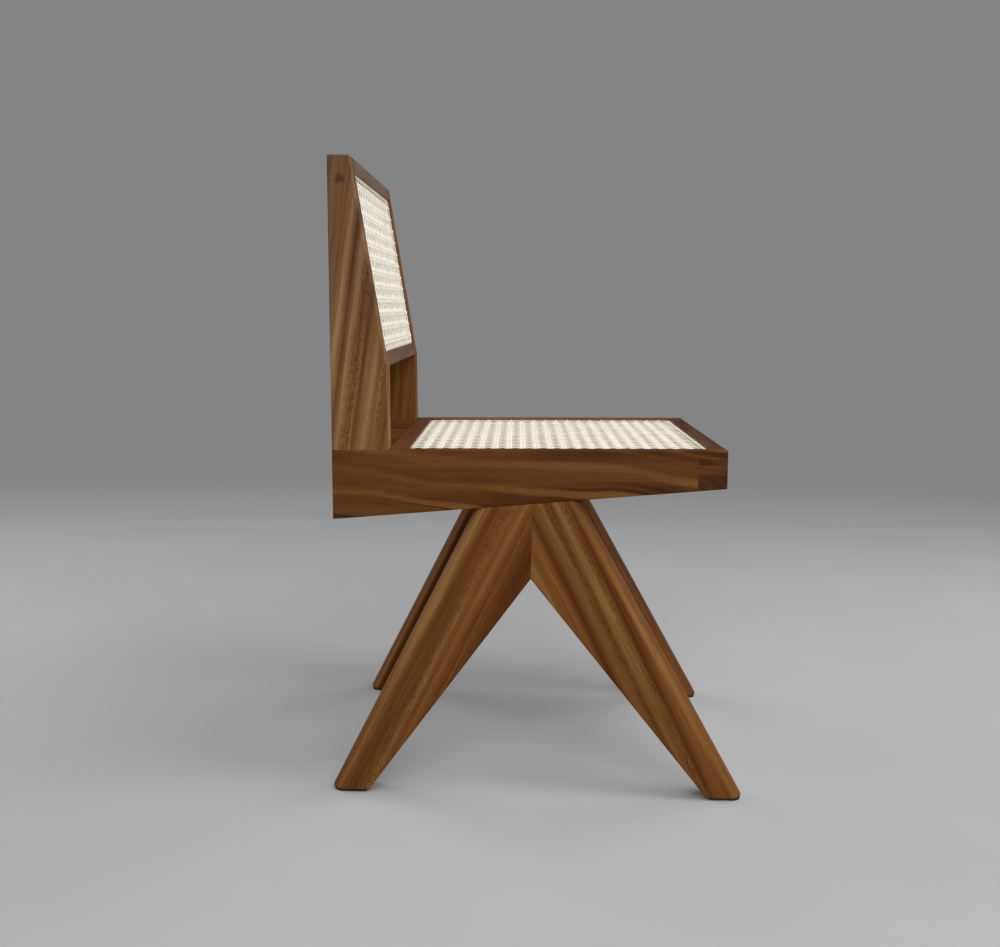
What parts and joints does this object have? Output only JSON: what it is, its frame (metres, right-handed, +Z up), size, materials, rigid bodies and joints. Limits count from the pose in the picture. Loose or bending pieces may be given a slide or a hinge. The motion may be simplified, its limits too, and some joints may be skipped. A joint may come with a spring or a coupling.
{
  "type": "dining chair",
  "caption": "Armless side chair in oiled brown wood: cane seat and low cane back in slim frames, finger-jointed front corners, and splayed legs that meet under each side rail.",
  "frame": {"origin": "on the floor, under the centre of the chair's bounding box", "axes": "+Z up; the chair faces -Y; +X is towards the sitter's left"},
  "size_m": [0.45, 0.5315, 0.7949],
  "materials": {
    "frame_wood": "oiled, satin",
    "cane": "natural peeled cane, satin",
    "spline": "natural reed, matt",
    "pad": "matt",
    "tenon": "bare"
  },
  "bodies": {
    "root": {"side_rail_right": "frame_wood", "side_rail_left": "frame_wood", "front_rail": "frame_wood", "rear_rail": "frame_wood", "stile_right": "frame_wood", "stile_left": "frame_wood", "back_top_rail": "frame_wood", "back_bottom_rail": "frame_wood", "front_leg_right": "frame_wood", "front_leg_left": "frame_wood", "rear_leg_right": "frame_wood", "rear_leg_left": "frame_wood", "seat_cane": "cane", "back_cane": "cane", "seat_spline": "spline", "back_spline": "spline", "foot_pad_front_right": "pad", "foot_pad_rear_right": "pad", "foot_pad_front_left": "pad", "foot_pad_rear_left": "pad", "stile_tenons": "tenon", "leg_head_tenons": "tenon", "leg_pair_tenons": "tenon", "rear_rail_tenons": "tenon", "back_rail_tenons": "tenon"}
  },
  "joints": []
}
